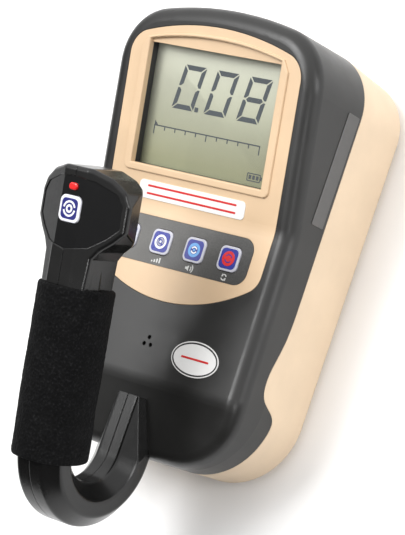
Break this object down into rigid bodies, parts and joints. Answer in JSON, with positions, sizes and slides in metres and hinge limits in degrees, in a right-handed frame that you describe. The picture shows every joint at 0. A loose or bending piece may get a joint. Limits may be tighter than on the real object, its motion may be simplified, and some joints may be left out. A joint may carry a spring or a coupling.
{
  "type": "geiger counter",
  "caption": "Hand-held radiation survey meter with a bent face, arched display, key row and a foam-wrapped J handle that ends in a thumb button.",
  "frame": {"origin": "centre of the whole meter's footprint, on the table it lies on", "axes": "+Z out of the face, +Y from the handle end to the display end, +X to the right as the display is read"},
  "size_m": [0.1136, 0.2324, 0.1385],
  "materials": {
    "black_shell": "moulded satin, charcoal black",
    "beige_shell": "moulded satin, warm beige",
    "bezel_plastic": "moulded satin, pale beige",
    "window_black": "matt black",
    "clear_window": "clear polished",
    "lcd_glass": "grey-green reflective",
    "diffuser": "white, translucent",
    "elastomer": "striped conductive strip",
    "board_green": "solder mask",
    "component_black": "moulded epoxy",
    "label_white": "printed film",
    "label_grey": "satin film",
    "overlay_grey": "dark grey graphic film",
    "key_plastic": "printed cap",
    "steel": "plated",
    "brass_plate": "plated strip",
    "speaker_body": "paper cone in a black frame",
    "seal_rubber": "soft",
    "foot_rubber": "soft",
    "module_black": "potted block",
    "tube_metal": "drawn tube",
    "shield_metal": "rolled sheet",
    "clip_plastic": "moulded",
    "box_plastic": "moulded",
    "cell_wrap": "plain wrapped can",
    "handle_black": "moulded satin black",
    "foam": "open-cell foam, near black",
    "plate_black": "smooth film over the folded plate",
    "button_plastic": "printed cap",
    "led_red": "clear red lens",
    "cable_black": "cable jacket"
  },
  "bodies": {
    "case": {"case_gasket": "seal_rubber", "front_case": "black_shell", "rear_case": "beige_shell", "rubber_feet": "foot_rubber", "case_screws": "steel", "display_bezel": "bezel_plastic", "lcd_frame": "window_black", "lcd_window": "clear_window", "lcd_panel": "lcd_glass", "backlight": "diffuser", "zebra_strips": "elastomer", "display_board": "board_green", "name_label": "label_white", "oval_label": "label_white", "side_label": "label_grey", "keypad_overlay": "overlay_grey", "key_domes": "steel", "switch_board": "board_green", "speaker": "speaker_body", "main_board": "board_green", "board_components": "component_black", "board_standoffs": "clip_plastic", "board_screws": "steel", "high_voltage_module": "module_black", "detector_tube": "tube_metal", "tube_shield": "shield_metal", "tube_clips": "clip_plastic", "battery_box": "box_plastic", "battery_left": "cell_wrap", "battery_right": "cell_wrap", "battery_springs": "steel", "battery_contacts": "brass_plate", "hinge_pin": "steel", "handle_left": "handle_black", "handle_right": "handle_black", "handle_screws": "steel", "handle_clamp": "steel", "clamp_screws": "steel", "foam_grip": "foam", "thumb_plate": "plate_black", "thumb_board": "board_green", "status_led": "led_red", "handle_lead": "cable_black"},
    "power_key": {"power_key": "key_plastic"},
    "units_key": {"units_key": "key_plastic"},
    "audio_key": {"audio_key": "key_plastic"},
    "mode_key": {"mode_key": "key_plastic"},
    "thumb_button": {"thumb_button": "button_plastic"},
    "battery_door": {"battery_door": "beige_shell", "door_seal": "seal_rubber"}
  },
  "joints": [
    {"name": "power_key_press", "type": "slide", "parent": "case", "child": "power_key", "axis": [0, 0.0366, -0.9993], "range_m": [0, 0.0005], "stiffness_N_per_m": 1200, "springref_m": -0.0006},
    {"name": "units_key_press", "type": "slide", "parent": "case", "child": "units_key", "axis": [0, 0.0366, -0.9993], "range_m": [0, 0.0005], "stiffness_N_per_m": 1200, "springref_m": -0.0006},
    {"name": "audio_key_press", "type": "slide", "parent": "case", "child": "audio_key", "axis": [0, 0.0366, -0.9993], "range_m": [0, 0.0005], "stiffness_N_per_m": 1200, "springref_m": -0.0006},
    {"name": "mode_key_press", "type": "slide", "parent": "case", "child": "mode_key", "axis": [0, 0.0366, -0.9993], "range_m": [0, 0.0005], "stiffness_N_per_m": 1200, "springref_m": -0.0006},
    {"name": "thumb_button_press", "type": "slide", "parent": "case", "child": "thumb_button", "axis": [0, 0.2588, -0.9659], "range_m": [0, 0.0008], "stiffness_N_per_m": 900, "springref_m": -0.001},
    {"name": "battery_door_hinge", "type": "hinge", "parent": "case", "child": "battery_door", "pos_m": [0, 0.01075, 0.00215], "axis": [1, 0, 0], "range_deg": [0, 90]}
  ]
}
